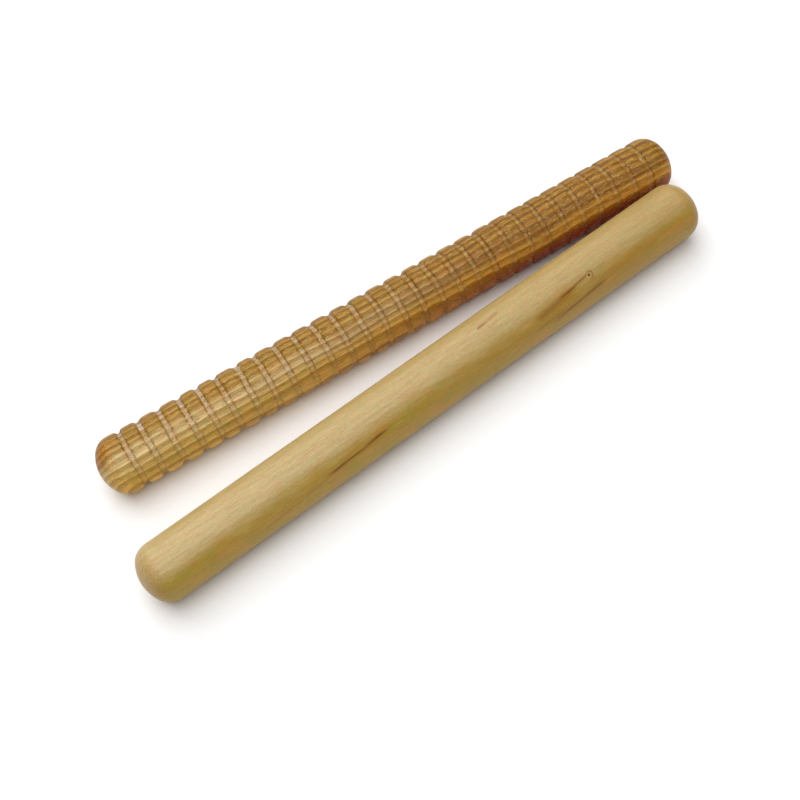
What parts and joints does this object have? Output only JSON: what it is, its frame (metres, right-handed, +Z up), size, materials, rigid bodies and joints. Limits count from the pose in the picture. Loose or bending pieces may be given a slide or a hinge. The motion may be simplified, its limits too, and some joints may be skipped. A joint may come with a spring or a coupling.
{
  "type": "claves",
  "caption": "Pair of round wooden claves, a ridged one and a smooth one, struck or rubbed together as a percussion instrument.",
  "frame": {"origin": "middle of the pair's footprint, on the surface that the claves lie on", "axes": "+X along the ridged clave, towards the end where the two claves lie closest; +Z up; the smooth clave is on the -Y side"},
  "size_m": [0.2236, 0.0617, 0.02],
  "materials": {
    "striped_wood": "satin varnish, straight striped grain",
    "pale_wood": "satin varnish, fine even grain"
  },
  "bodies": {
    "ridged": {"ridged_clave": "striped_wood"},
    "smooth": {"smooth_clave": "pale_wood"}
  },
  "joints": [
    {"name": "strike", "type": "slide", "parent": "ridged", "child": "smooth", "axis": [0, -1, 0], "range_m": [-0.0012, 0.12]}
  ]
}
